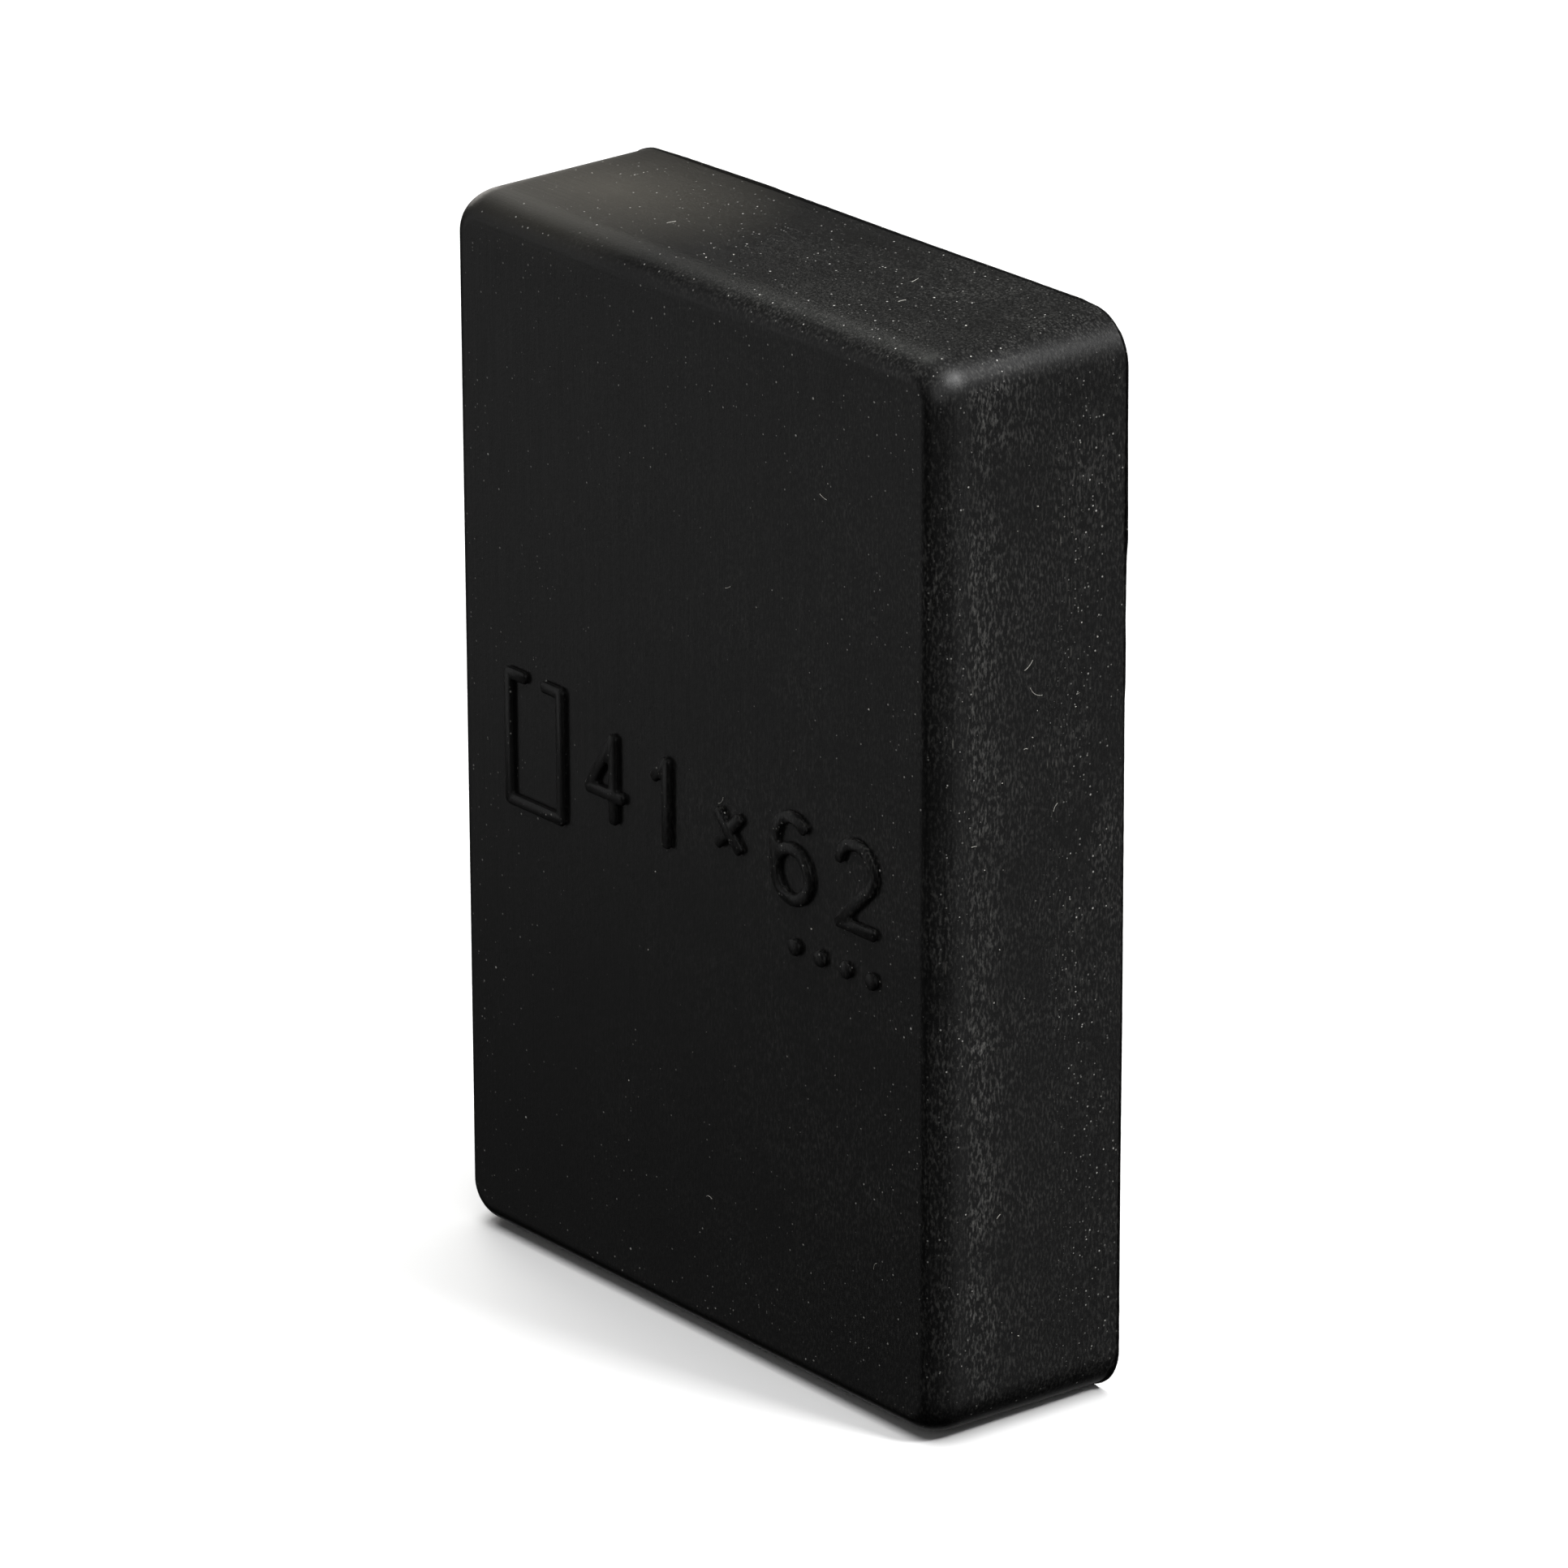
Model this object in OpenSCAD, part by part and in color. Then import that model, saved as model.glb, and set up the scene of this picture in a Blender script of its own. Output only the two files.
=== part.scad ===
// Push-on end cap for a rectangular mounting rail, moulded in one piece from black rubber.
// The rail lies along Y and its end seats on the plane y = 0, with the origin at the seat's centre.
// The closed face looks to -Y, the mouth to +Y, and +Z is up. Sizes are in millimetres, angles in degrees.

/* [Rail] */
// Width of the rail
rail_w = 41; // [30:1:60]
// Height of the rail
rail_h = 62; // [50:1:100]
// Outer corner radius of the rail's section
rail_corner_r = 2; // [1:0.25:2.5]

/* [Cap] */
// Rubber over each face of the rail, measured at the rim
cover = 3; // [2.5:0.25:5]
// Thickness of the closing plate
plate = 3; // [2.5:0.25:5]
// Length of rail that the skirt covers
engagement = 11; // [9:0.5:20]
// Radius of the four outer corners, measured at the rim
corner_r = 3; // [2.5:0.25:5]
// Radius round the closed face
edge_r = 1.6; // [0.8:0.1:2]
// Draft of the outer walls
outer_draft = 1; // [0.25:0.25:1.5]

/* [Socket] */
// Gap between a rail face and the socket wall, at the floor
socket_gap = 0.2; // [0.1:0.05:0.4]
// Draft of the socket walls
socket_draft = 0.5; // [0.25:0.25:1]
// Radius between the socket's floor and its walls
floor_r = 0.5; // [0.2:0.1:0.8]
// Width of the lead-in chamfer round the mouth
lead_in = 0.8; // [0.4:0.1:1]
// Angle between the lead-in and the rail
lead_in_angle = 40; // [30:5:50]

/* [Grip ribs] */
// Ribs on each tall wall
ribs_tall = 3; // [1:1:4]
// Ribs on each short wall
ribs_short = 2; // [1:1:3]
// Distance between neighbouring ribs
rib_pitch = 17; // [6:1:20]
// Radius of a rib
rib_r = 1; // [0.8:0.1:1.4]
// How far a rib's crest bites past the rail's face
rib_bite = 0.15; // [0.05:0.05:0.3]
// Length of a rib's tapered end
rib_taper = 4; // [2:0.5:6]
// Distance from the rim to a rib's end
rib_setback = 1.5; // [1.2:0.1:3]

/* [Raised mark] */
// Height of the relief on the closed face
relief = 0.3; // [0.2:0.05:0.5]
// Height of a figure
figure_h = 6; // [4:0.2:7]
// Width of a figure
figure_w = 4; // [3:0.2:4.4]
// Width of every stroke
stroke_w = 0.8; // [0.5:0.1:1]
// Space between figures
figure_gap = 2; // [1:0.1:2.2]
// Height of the rail pictogram
icon_h = 9; // [6:0.2:10]
// Number of cavity dots under the figures
dots = 4; // [1:1:6]
// Diameter of a cavity dot
dot_d = 1.1; // [0.8:0.1:1.5]
// Distance between neighbouring dots
dot_pitch = 2.4; // [2:0.1:3]

/* [Hidden] */

$fn = 96;
shell_fn = 32;
stroke_fn = 24;
overshoot = 1;
rubber = "#1b1b1b";

outer_w = rail_w + 2 * cover;
outer_h = rail_h + 2 * cover;

// The socket is drawn at the rim, where its draft has opened it a little.
mouth_gap = socket_gap + engagement * tan(socket_draft);
mouth_w = rail_w + 2 * mouth_gap;
mouth_h = rail_h + 2 * mouth_gap;
mouth_corner_r = rail_corner_r + mouth_gap;

// A rib's far end is thin enough to run out inside the socket wall.
rib_length = engagement - rib_setback;
rib_end_r = rib_r - rib_bite - mouth_gap;

// The mark is centred on the closed face: the pictogram, then four figures with a cross between them.
figure_pitch = figure_w + figure_gap;
icon_w = icon_h * rail_w / rail_h;
mark_w = icon_w + 5 * figure_pitch;

// A figure's strokes are thin lines grown to their full width, which rounds their ends. Inner corners are
// rounded by inner_r. The lines stand between base and top and reach half_w to each side.
line_w = 0.2;
inner_r = 0.15;
half_w = (figure_w - stroke_w) / 2;
base = stroke_w / 2;
top = figure_h - stroke_w / 2;
arc_step = 15;

// Half of a drafted section, with y running from the closed end to the open end. Reach is the distance from
// the axis to the wall at the open end, and a round of radius r joins the wall to the closed end.
module drafted_profile(reach, closed_y, open_y, r, draft) {
    round_y = closed_y + r;
    round_x = reach - (open_y - round_y) * tan(draft) - r / cos(draft);
    intersection() {
        union() {
            translate([round_x, round_y]) circle(r);
            polygon([
                [0, closed_y],
                [round_x, closed_y],
                [round_x, round_y],
                [round_x + r * cos(draft), round_y - r * sin(draft)],
                [reach, open_y],
                [0, open_y]
            ]);
        }
        translate([0, closed_y]) square([reach, open_y - closed_y]);
    }
}

// One skin over a turned post in each corner of a w by h block, the posts' axes along +Y.
module skin_over_posts(w, h, corner) {
    hull()
        for (x = [-1, 1], z = [-1, 1])
            translate([x * (w / 2 - corner), 0, z * (h / 2 - corner)]) rotate([-90, 0, 0]) children();
}

// A drafted block, w by h with corners of radius corner at its open end.
module drafted_block(w, h, closed_y, open_y, corner, r, draft) {
    skin_over_posts(w, h, corner)
        rotate_extrude($fn = shell_fn)
            drafted_profile(corner, closed_y, open_y, r, draft, $fn = shell_fn);
}

// The form that the outside of the cap follows.
module outer_form() {
    drafted_block(outer_w, outer_h, -plate, engagement, corner_r, edge_r, outer_draft);
}

// The space for the end of the rail, run out past the rim.
module socket() {
    past = overshoot * tan(socket_draft);
    drafted_block(mouth_w + 2 * past, mouth_h + 2 * past, 0, engagement + overshoot,
        mouth_corner_r + past, floor_r, socket_draft);
}

// The chamfer that guides the rail into the mouth. Each of its cones starts inside the socket's corner and
// runs out past the rim at the same slope.
module lead_in_cut() {
    slope = tan(lead_in_angle);
    depth = lead_in / slope + overshoot / 2;
    start_r = mouth_corner_r + lead_in - depth * slope;
    skin_over_posts(mouth_w, mouth_h, mouth_corner_r)
        translate([0, 0, engagement - depth])
            cylinder(h = depth + overshoot, r1 = start_r, r2 = start_r + (depth + overshoot) * slope,
                $fn = shell_fn);
}

// A rib along the rail, its crest at x = 0 and its body on the +X side.
module grip_rib() {
    straight = rib_length - rib_taper;
    translate([rib_r, 0, 0]) rotate([-90, 0, 0]) {
        translate([0, 0, -overshoot]) cylinder(h = straight + overshoot, r = rib_r);
        translate([0, 0, straight]) cylinder(h = rib_taper, r1 = rib_r, r2 = rib_end_r);
    }
}

// The ribs of one wall, on the rail face that stands at x = reach.
module rib_row(reach, count) {
    for (i = [0 : count - 1])
        translate([reach - rib_bite, 0, (i - (count - 1) / 2) * rib_pitch]) grip_rib();
}

module grip_ribs() {
    for (turn = [0, 180]) {
        rotate([0, turn, 0]) rib_row(rail_w / 2, ribs_tall);
        rotate([0, turn + 90, 0]) rib_row(rail_h / 2, ribs_short);
    }
}

// The centre line of a straight stroke from a to b.
module stroke(a, b) {
    run = b - a;
    translate(a) rotate(atan2(run.y, run.x)) translate([0, -line_w / 2]) square([norm(run), line_w]);
}

// The centre line of a stroke bent round a centre, from one angle to the other.
module bent_stroke(centre, r, from, to) {
    there = [for (t = [from : arc_step : to]) (r + line_w / 2) * [cos(t), sin(t)]];
    back = [for (t = [to : -arc_step : from]) (r - line_w / 2) * [cos(t), sin(t)]];
    translate(centre) polygon(concat(there, back));
}

module figure_four() {
    stem_x = half_w * 0.5;
    bar_y = base + (top - base) * 0.3;
    stroke([stem_x, base], [stem_x, top]);
    stroke([stem_x, top], [-half_w, bar_y]);
    stroke([-half_w, bar_y], [half_w, bar_y]);
}

module figure_one() {
    flag = half_w * 0.7;
    stroke([0, base], [0, top]);
    stroke([0, top], [-flag, top - flag]);
}

module figure_six() {
    bent_stroke([0, base + half_w], half_w, 0, 360);
    stroke([-half_w, base + half_w], [-half_w, top - half_w]);
    bent_stroke([0, top - half_w], half_w, 45, 180);
}

module figure_two() {
    tail = -30;
    neck = [half_w * cos(tail), top - half_w + half_w * sin(tail)];
    bent_stroke([0, top - half_w], half_w, tail, 165);
    stroke(neck, [-half_w, base]);
    stroke([-half_w, base], [half_w, base]);
}

module cross() {
    arm = half_w * 0.6;
    for (lean = [-1, 1])
        stroke([-arm, figure_h / 2 - lean * arm], [arm, figure_h / 2 + lean * arm]);
}

// The rail's section, open at the top as a channel is.
module rail_icon() {
    wall_x = (icon_w - stroke_w) / 2;
    wall_y = (icon_h - stroke_w) / 2;
    lip = wall_x * 0.6;
    stroke([-wall_x, -wall_y], [wall_x, -wall_y]);
    for (side = [-1, 1]) {
        stroke([side * wall_x, -wall_y], [side * wall_x, wall_y]);
        stroke([side * wall_x, wall_y], [side * (wall_x - lip), wall_y]);
    }
}

// The size of the rail that the cap fits, written after its pictogram.
module rail_size() {
    translate([(icon_w - mark_w) / 2, 0]) rail_icon();
    translate([(mark_w - figure_w) / 2, -figure_h / 2]) {
        translate([-4 * figure_pitch, 0]) figure_four();
        translate([-3 * figure_pitch, 0]) figure_one();
        translate([-2 * figure_pitch, 0]) cross();
        translate([-figure_pitch, 0]) figure_six();
        figure_two();
    }
}

// The dots that tell the mould's cavities apart, in a row that ends under the last figure.
module cavity_dots() {
    dot_y = -(figure_h + dot_d) / 2 - figure_gap;
    for (i = [0 : dots - 1])
        translate([(mark_w - dot_d) / 2 - i * dot_pitch, dot_y]) circle(d = dot_d);
}

// The mark stands on the closed face and is rooted in it as deep as it stands out.
module raised_mark() {
    translate([0, relief - plate, 0]) rotate([90, 0, 0]) linear_extrude(2 * relief) {
        offset(r = -inner_r, $fn = stroke_fn)
            offset(r = inner_r + (stroke_w - line_w) / 2, $fn = stroke_fn)
                rail_size();
        cavity_dots();
    }
}

module end_cap() {
    color(rubber) {
        difference() {
            outer_form();
            difference() {
                union() {
                    socket();
                    lead_in_cut();
                }
                grip_ribs();
            }
        }
        raised_mark();
    }
}

end_cap();
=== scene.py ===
"""The looks of a push-on rubber end cap for a rectangular mounting rail.

The cap is one moulding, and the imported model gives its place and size. This script builds the rubber
that is seen: the smooth skin with its flexed rim and trimmed flash, the grip ribs and the raised size
mark. It adds the grit and lint that black rubber gathers, and the studio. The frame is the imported
model's: +X across the cap, +Y along the rail from the closed face to the mouth, and +Z up. Lengths are
in metres unless a name says mm.
"""

from __future__ import annotations

import logging
import math
import random
from dataclasses import dataclass
from enum import Enum
from typing import Sequence

import bmesh
import bpy
from bmesh.types import BMEdge, BMesh, BMVert
from bpy.types import Material, Node, NodeSocket, NodeTree, Object
from mathutils import Matrix, Vector, noise

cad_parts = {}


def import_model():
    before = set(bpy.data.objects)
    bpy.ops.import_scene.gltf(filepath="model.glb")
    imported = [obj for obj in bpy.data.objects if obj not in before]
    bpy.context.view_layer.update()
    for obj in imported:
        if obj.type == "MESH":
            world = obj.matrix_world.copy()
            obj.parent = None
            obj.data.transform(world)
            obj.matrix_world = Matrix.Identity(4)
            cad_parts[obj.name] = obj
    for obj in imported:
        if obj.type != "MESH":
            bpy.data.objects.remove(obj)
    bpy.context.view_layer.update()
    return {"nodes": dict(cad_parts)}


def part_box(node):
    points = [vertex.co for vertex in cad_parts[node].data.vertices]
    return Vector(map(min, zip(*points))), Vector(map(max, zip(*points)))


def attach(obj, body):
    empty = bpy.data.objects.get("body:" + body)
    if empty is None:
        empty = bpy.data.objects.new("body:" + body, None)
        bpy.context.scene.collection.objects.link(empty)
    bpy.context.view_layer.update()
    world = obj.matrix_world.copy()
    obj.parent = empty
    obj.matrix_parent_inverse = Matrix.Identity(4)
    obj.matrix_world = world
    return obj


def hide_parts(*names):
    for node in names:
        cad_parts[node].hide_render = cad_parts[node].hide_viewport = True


log = logging.getLogger("end_cap")

MM = 0.001
NODE = "end_cap"
BODY = "root"
MERGE = 0.001 * MM
SHARP = math.radians(32)
FLAT = math.radians(1)
MATH = "ShaderNodeMath"
MAP_RANGE = "ShaderNodeMapRange"
MULTIPLY = {"operation": "MULTIPLY"}
MAXIMUM = {"operation": "MAXIMUM"}


# ---- Shared helpers ----------------------------------------------------------


def linear(colour: str) -> tuple[float, float, float, float]:
    """Turns an sRGB hex colour into the linear values that shaders take.

    Args:
        colour: Six hex digits after a hash.

    Returns:
        Red, green, blue and an alpha of 1.
    """
    parts = [int(colour[i : i + 2], 16) / 255 for i in (1, 3, 5)]
    red, green, blue = [c / 12.92 if c <= 0.04045 else ((c + 0.055) / 1.055) ** 2.4 for c in parts]
    return red, green, blue, 1.0


def per_metre(size_mm: float) -> float:
    """Returns the texture scale that gives a pattern features of a real size in millimetres."""
    return 1 / (size_mm * MM)


def add_node(
    tree: NodeTree,
    kind: str,
    settings: dict[str | int, object] | None = None,
    links: dict[str | int, NodeSocket] | None = None,
) -> Node:
    """Adds one shader node.

    Args:
        tree: The material's or world's node tree.
        kind: The node's type name.
        settings: Attribute values, or input values where the key is an input's name or index.
        links: Input name or index to the output socket that feeds it.

    Returns:
        The new node.
    """
    node = tree.nodes.new(kind)
    for name, value in (settings or {}).items():
        if isinstance(name, str) and hasattr(node, name):
            setattr(node, name, value)
        else:
            node.inputs[name].default_value = value
    for name, socket in (links or {}).items():
        tree.links.new(socket, node.inputs[name])
    return node


def blank_material(name: str) -> tuple[Material, NodeTree]:
    """Returns a new material with an empty node tree, and that tree."""
    material = bpy.data.materials.new(name)
    material.use_nodes = True
    material.node_tree.nodes.clear()
    return material, material.node_tree


def new_piece(name: str, shape: BMesh, material: Material) -> Object:
    """Turns a bmesh into an object at the origin, smooth but for its sharp edges.

    Args:
        name: The piece's name.
        shape: The finished bmesh, which is freed.
        material: Its finish.

    Returns:
        The object, linked to the scene.
    """
    for face in shape.faces:
        face.smooth = True
    for edge in shape.edges:
        edge.smooth = len(edge.link_faces) == 2 and edge.calc_face_angle(0) < SHARP
    mesh = bpy.data.meshes.new(name)
    shape.to_mesh(mesh)
    shape.free()
    mesh.materials.append(material)
    piece = bpy.data.objects.new(name, mesh)
    bpy.context.scene.collection.objects.link(piece)
    return piece


def stub_between(knots: Sequence[tuple[float, float]], at: float) -> float:
    """Reads a broken line.

    Args:
        knots: Place and value pairs in rising order of place.
        at: The place to read.

    Returns:
        The value there, held level past both ends.
    """
    if at <= knots[0][0]:
        return knots[0][1]
    for (x0, v0), (x1, v1) in zip(knots, knots[1:]):
        if at <= x1:
            return v0 + (v1 - v0) * (at - x0) / (x1 - x0)
    return knots[-1][1]


# ---- Finishes ----------------------------------------------------------------


@dataclass(frozen=True)
class MouldedRubber:
    """EPDM rubber filled with carbon black, compression moulded in a polished cavity and hand trimmed.

    It is a satin black. The cavity's polishing lines print as faint streaks, along the height on the walls
    and along the edge over the top. Handling leaves short pale scuffs, and the static surface holds fine
    dust.
    A warm brown patch over the left of the top is painted sheen, a reflection painted into the colour.
    """

    black: str = "#0c0c0c"
    # Painted sheen: a warm reflection over the left of the top, painted into the colour.
    polished: str = "#121212"
    painted_sheen_colour: str = "#3a3833"
    scuff: str = "#6c6b66"
    dust: str = "#d2d1cc"
    roughness: float = 0.42
    streak_roughness: float = 0.07
    dust_roughness: float = 0.5
    streak_mm: float = 0.2
    streak_length_mm: float = 7.0
    grain_mm: float = 0.16
    orange_peel_mm: float = 3.5
    # Real dust is mostly finer than these, and would not show at this size of image.
    powder_mm: float = 0.15
    fine_speck_mm: float = 0.25
    coarse_speck_mm: float = 1.5
    scuff_mm: float = 0.17
    scuff_length_mm: float = 1.1

    def specks(
        self,
        tree: NodeTree,
        place: NodeSocket,
        cell_mm: float,
        share: float,
        radius: float,
        fade: float,
    ) -> NodeSocket:
        """Adds round specks of uneven size and strength, at most one in each cell of a random honeycomb.

        Args:
            tree: The material's node tree.
            place: The coordinates to read.
            cell_mm: The width of a cell.
            share: How many of the cells hold a speck, from 0 to 1.
            radius: The largest speck's radius as a share of the cell.
            fade: How few of the specks are strong: 0 makes all of them strong.

        Returns:
            A mask, up to 1 inside the specks.
        """
        settings = {"Scale": per_metre(cell_mm), "Randomness": 1.0}
        cells = add_node(tree, "ShaderNodeTexVoronoi", settings, {"Vector": place})
        lot = add_node(tree, "ShaderNodeSeparateColor", {}, {"Color": cells.outputs["Color"]})
        kept = {"From Min": 1 - share, "To Max": radius}
        size = add_node(tree, MAP_RANGE, kept, {"Value": lot.outputs["Red"]})
        links = {0: size.outputs["Result"], 1: cells.outputs["Distance"]}
        depth = add_node(tree, MATH, {"operation": "SUBTRACT"}, links)
        soft = add_node(tree, MAP_RANGE, {"From Max": radius * 0.4}, {"Value": depth.outputs[0]})
        strength = add_node(tree, MATH, {"operation": "POWER", 1: fade}, {0: lot.outputs["Green"]})
        shown = add_node(tree, MATH, MULTIPLY, {0: soft.outputs["Result"], 1: strength.outputs[0]})
        return shown.outputs[0]

    def cloud(
        self,
        tree: NodeTree,
        place: NodeSocket,
        size_mm: float,
        span: tuple[float, float],
        strength: tuple[float, float] = (0.0, 1.0),
        detail: float = 3.0,
    ) -> NodeSocket:
        """Adds soft cloudy patches.

        Args:
            tree: The material's node tree.
            place: The coordinates to read.
            size_mm: The size of a patch.
            span: The noise values at which a patch begins and at which it is full.
            strength: The mask outside and inside the patches.
            detail: Octaves of finer noise.

        Returns:
            The mask.
        """
        settings = {"Scale": per_metre(size_mm), "Detail": detail, "Roughness": 0.6}
        noisy = add_node(tree, "ShaderNodeTexNoise", settings, {"Vector": place})
        settings = {"From Min": span[0], "From Max": span[1], "To Min": strength[0], "To Max": strength[1]}
        return add_node(tree, MAP_RANGE, settings, {"Value": noisy.outputs["Fac"]}).outputs["Result"]

    def slope(
        self,
        tree: NodeTree,
        axis: NodeSocket,
        span_mm: tuple[float, float],
        strength: tuple[float, float] = (0.0, 1.0),
    ) -> NodeSocket:
        """Returns a mask that goes smoothly from one strength to another between two places on an axis."""
        settings = {
            "interpolation_type": "SMOOTHSTEP",
            "From Min": span_mm[0] * MM,
            "From Max": span_mm[1] * MM,
            "To Min": strength[0],
            "To Max": strength[1],
        }
        return add_node(tree, MAP_RANGE, settings, {"Value": axis}).outputs["Result"]

    def pool(
        self,
        tree: NodeTree,
        place: NodeSocket,
        centre_mm: tuple[float, float, float],
        reach_mm: tuple[float, float, float],
    ) -> NodeSocket:
        """Returns a round mask that fades from 1 at its centre to 0 at its reach along each axis."""
        scale = tuple(1 / (r * MM) for r in reach_mm)
        shift = tuple(-c / r for c, r in zip(centre_mm, reach_mm))
        settings = {"Location": shift, "Scale": scale}
        centred = add_node(tree, "ShaderNodeMapping", settings, {"Vector": place})
        settings = {"gradient_type": "SPHERICAL"}
        ball = add_node(tree, "ShaderNodeTexGradient", settings, {"Vector": centred.outputs[0]})
        return ball.outputs["Fac"]

    def stretched(self, tree: NodeTree, place: NodeSocket, scale: tuple[float, float, float]) -> NodeSocket:
        """Returns coordinates that draw a pattern out along an axis whose scale is below 1."""
        return add_node(tree, "ShaderNodeMapping", {"Scale": scale}, {"Vector": place}).outputs[0]

    def polishing_lines(self, tree: NodeTree, place: NodeSocket, over_top: NodeSocket) -> NodeSocket:
        """Adds the streaks that the polished cavity prints.

        Args:
            tree: The material's node tree.
            place: Object coordinates.
            over_top: A mask, 1 on the top and its rounded edges.

        Returns:
            A mask, 1 on the streaks.
        """
        thin = self.streak_mm / self.streak_length_mm
        upright = self.cloud(tree, self.stretched(tree, place, (1, 1, thin)), self.streak_mm, (0.3, 0.7))
        level = self.cloud(tree, self.stretched(tree, place, (thin, 1, 1)), self.streak_mm, (0.3, 0.7))
        links = {"Factor": over_top, "A": upright, "B": level}
        return add_node(tree, "ShaderNodeMix", {}, links).outputs[0]

    def dusting(self, tree: NodeTree, place: NodeSocket) -> NodeSocket:
        """Adds dust: a fine powder, small specks and a few coarse ones.

        Powder lies thickest on the right wall, beside the rounded upright edge and mid-way by the rim.
        Some lies on the top, and it thins out across the closed face to the left.

        Args:
            tree: The material's node tree.
            place: Object coordinates.

        Returns:
            A mask, 1 where the dust is thick.
        """
        axes = add_node(tree, "ShaderNodeSeparateXYZ", {}, {"Vector": place})
        across, along, height = axes.outputs
        past_edge = self.slope(tree, along, (-1.5, -0.3))
        beside_edge = self.slope(tree, along, (0.2, 3.4), (0.9, 0.42))
        by_rim = self.pool(tree, place, (23.5, 9.5, 2.0), (4.0, 3.2, 7.0))
        on_right = self.slope(tree, across, (22.9, 23.25))
        on_top = self.slope(tree, height, (32.6, 33.8), (0.0, 0.3))
        on_face = self.slope(tree, across, (-22.0, 24.0), (0.2, 0.55))
        drift = self.cloud(tree, place, 6.0, (0.3, 0.7), (0.45, 1.0))
        walls = add_node(tree, MATH, MAXIMUM, {0: beside_edge, 1: by_rim})
        clear = add_node(tree, MATH, MULTIPLY, {0: past_edge, 1: on_right})
        right = add_node(tree, MATH, MULTIPLY, {0: walls.outputs[0], 1: clear.outputs[0]})
        level = add_node(tree, MATH, MAXIMUM, {0: on_top, 1: on_face})
        most = add_node(tree, MATH, MAXIMUM, {0: right.outputs[0], 1: level.outputs[0]})
        cover = add_node(tree, MATH, MULTIPLY, {0: most.outputs[0], 1: drift})
        drawn_out = self.stretched(tree, place, (1, 1, 0.4))
        powder = self.cloud(tree, drawn_out, self.powder_mm, (0.48, 0.85), (0.0, 0.55))
        # Powder goes by the square of the cover, so the closed face and the rounded edges stay cleaner.
        thick = add_node(tree, MATH, MULTIPLY, {0: cover.outputs[0], 1: cover.outputs[0]})
        settled = add_node(tree, MATH, MULTIPLY, {0: powder, 1: thick.outputs[0]})
        fine = self.specks(tree, place, self.fine_speck_mm, 0.5, 0.32, 3.0)
        sparse = add_node(tree, MATH, {"operation": "MULTIPLY_ADD", 1: 1.6, 2: 0.2}, {0: cover.outputs[0]})
        strewn = add_node(tree, MATH, MULTIPLY, {0: fine, 1: sparse.outputs[0]})
        thin = add_node(tree, MATH, MAXIMUM, {0: settled.outputs[0], 1: strewn.outputs[0]})
        coarse = self.specks(tree, place, self.coarse_speck_mm, 0.7, 0.075, 0.8)
        links = {0: thin.outputs[0], 1: coarse}
        settings = {"operation": "MAXIMUM", "use_clamp": True}
        return add_node(tree, MATH, settings, links).outputs[0]

    def scuffing(self, tree: NodeTree, place: NodeSocket) -> NodeSocket:
        """Adds short rubbed streaks along the height of the right wall, where hands grip the cap.

        Args:
            tree: The material's node tree.
            place: Object coordinates.

        Returns:
            A mask, 1 on the streaks.
        """
        thin = self.scuff_mm / self.scuff_length_mm
        rubbed = self.specks(tree, self.stretched(tree, place, (1, 1, thin)), self.scuff_mm, 0.5, 0.45, 1.2)
        gripped = self.pool(tree, place, (23.5, 4.5, 8.0), (4.0, 12.0, 34.0))
        patchy = self.cloud(tree, place, 5.0, (0.4, 0.62))
        where = add_node(tree, MATH, MULTIPLY, {0: gripped, 1: patchy})
        links = {0: rubbed, 1: where.outputs[0]}
        return add_node(tree, MATH, MULTIPLY, links).outputs[0]

    def layered(self, tree: NodeTree, under: NodeSocket | str, over: str, mask: NodeSocket) -> NodeSocket:
        """Lays one colour over another.

        Args:
            tree: The material's node tree.
            under: A colour socket or an sRGB hex colour.
            over: An sRGB hex colour.
            mask: Where the upper colour shows.

        Returns:
            The mixed colour.
        """
        # A mix node's number, vector and colour sockets share names, so colours are told by index.
        settings = {"data_type": "RGBA", 7: linear(over)}
        links = {"Factor": mask}
        if isinstance(under, str):
            settings[6] = linear(under)
        else:
            links[6] = under
        return add_node(tree, "ShaderNodeMix", settings, links).outputs[2]

    def material(self) -> Material:
        """Builds the rubber's material.

        Returns:
            The material, which reads Object coordinates only.
        """
        material, tree = blank_material("compression_moulded_black_epdm_rubber")
        place = add_node(tree, "ShaderNodeTexCoord").outputs["Object"]
        height = add_node(tree, "ShaderNodeSeparateXYZ", {}, {"Vector": place}).outputs["Z"]
        over_top = self.slope(tree, height, (30.6, 32.2))
        lines = self.polishing_lines(tree, place, over_top)
        dust = self.dusting(tree, place)
        scuffs = self.scuffing(tree, place)
        # Painted sheen: a warm patch at the left of the top stands in for a reflection there.
        painted_sheen_patch = self.pool(tree, place, (-16.0, 4.0, 34.0), (14.0, 10.0, 5.0))
        grain = self.cloud(tree, place, self.grain_mm, (0.2, 0.8), detail=1.0)
        peel = self.cloud(tree, place, self.orange_peel_mm, (0.2, 0.8), detail=1.0)

        colour = self.layered(tree, self.black, self.polished, lines)
        # Lays the painted sheen over the left of the top.
        colour = self.layered(tree, colour, self.painted_sheen_colour, painted_sheen_patch)
        colour = self.layered(tree, colour, self.scuff, scuffs)
        colour = self.layered(tree, colour, self.dust, dust)

        settings = {"To Min": self.roughness, "To Max": self.roughness + self.streak_roughness}
        streaked = add_node(tree, MAP_RANGE, settings, {"Value": lines})
        settings = {"operation": "MULTIPLY_ADD", 1: self.dust_roughness}
        dulled = add_node(tree, MATH, settings, {0: dust, 2: streaked.outputs[0]})

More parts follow.
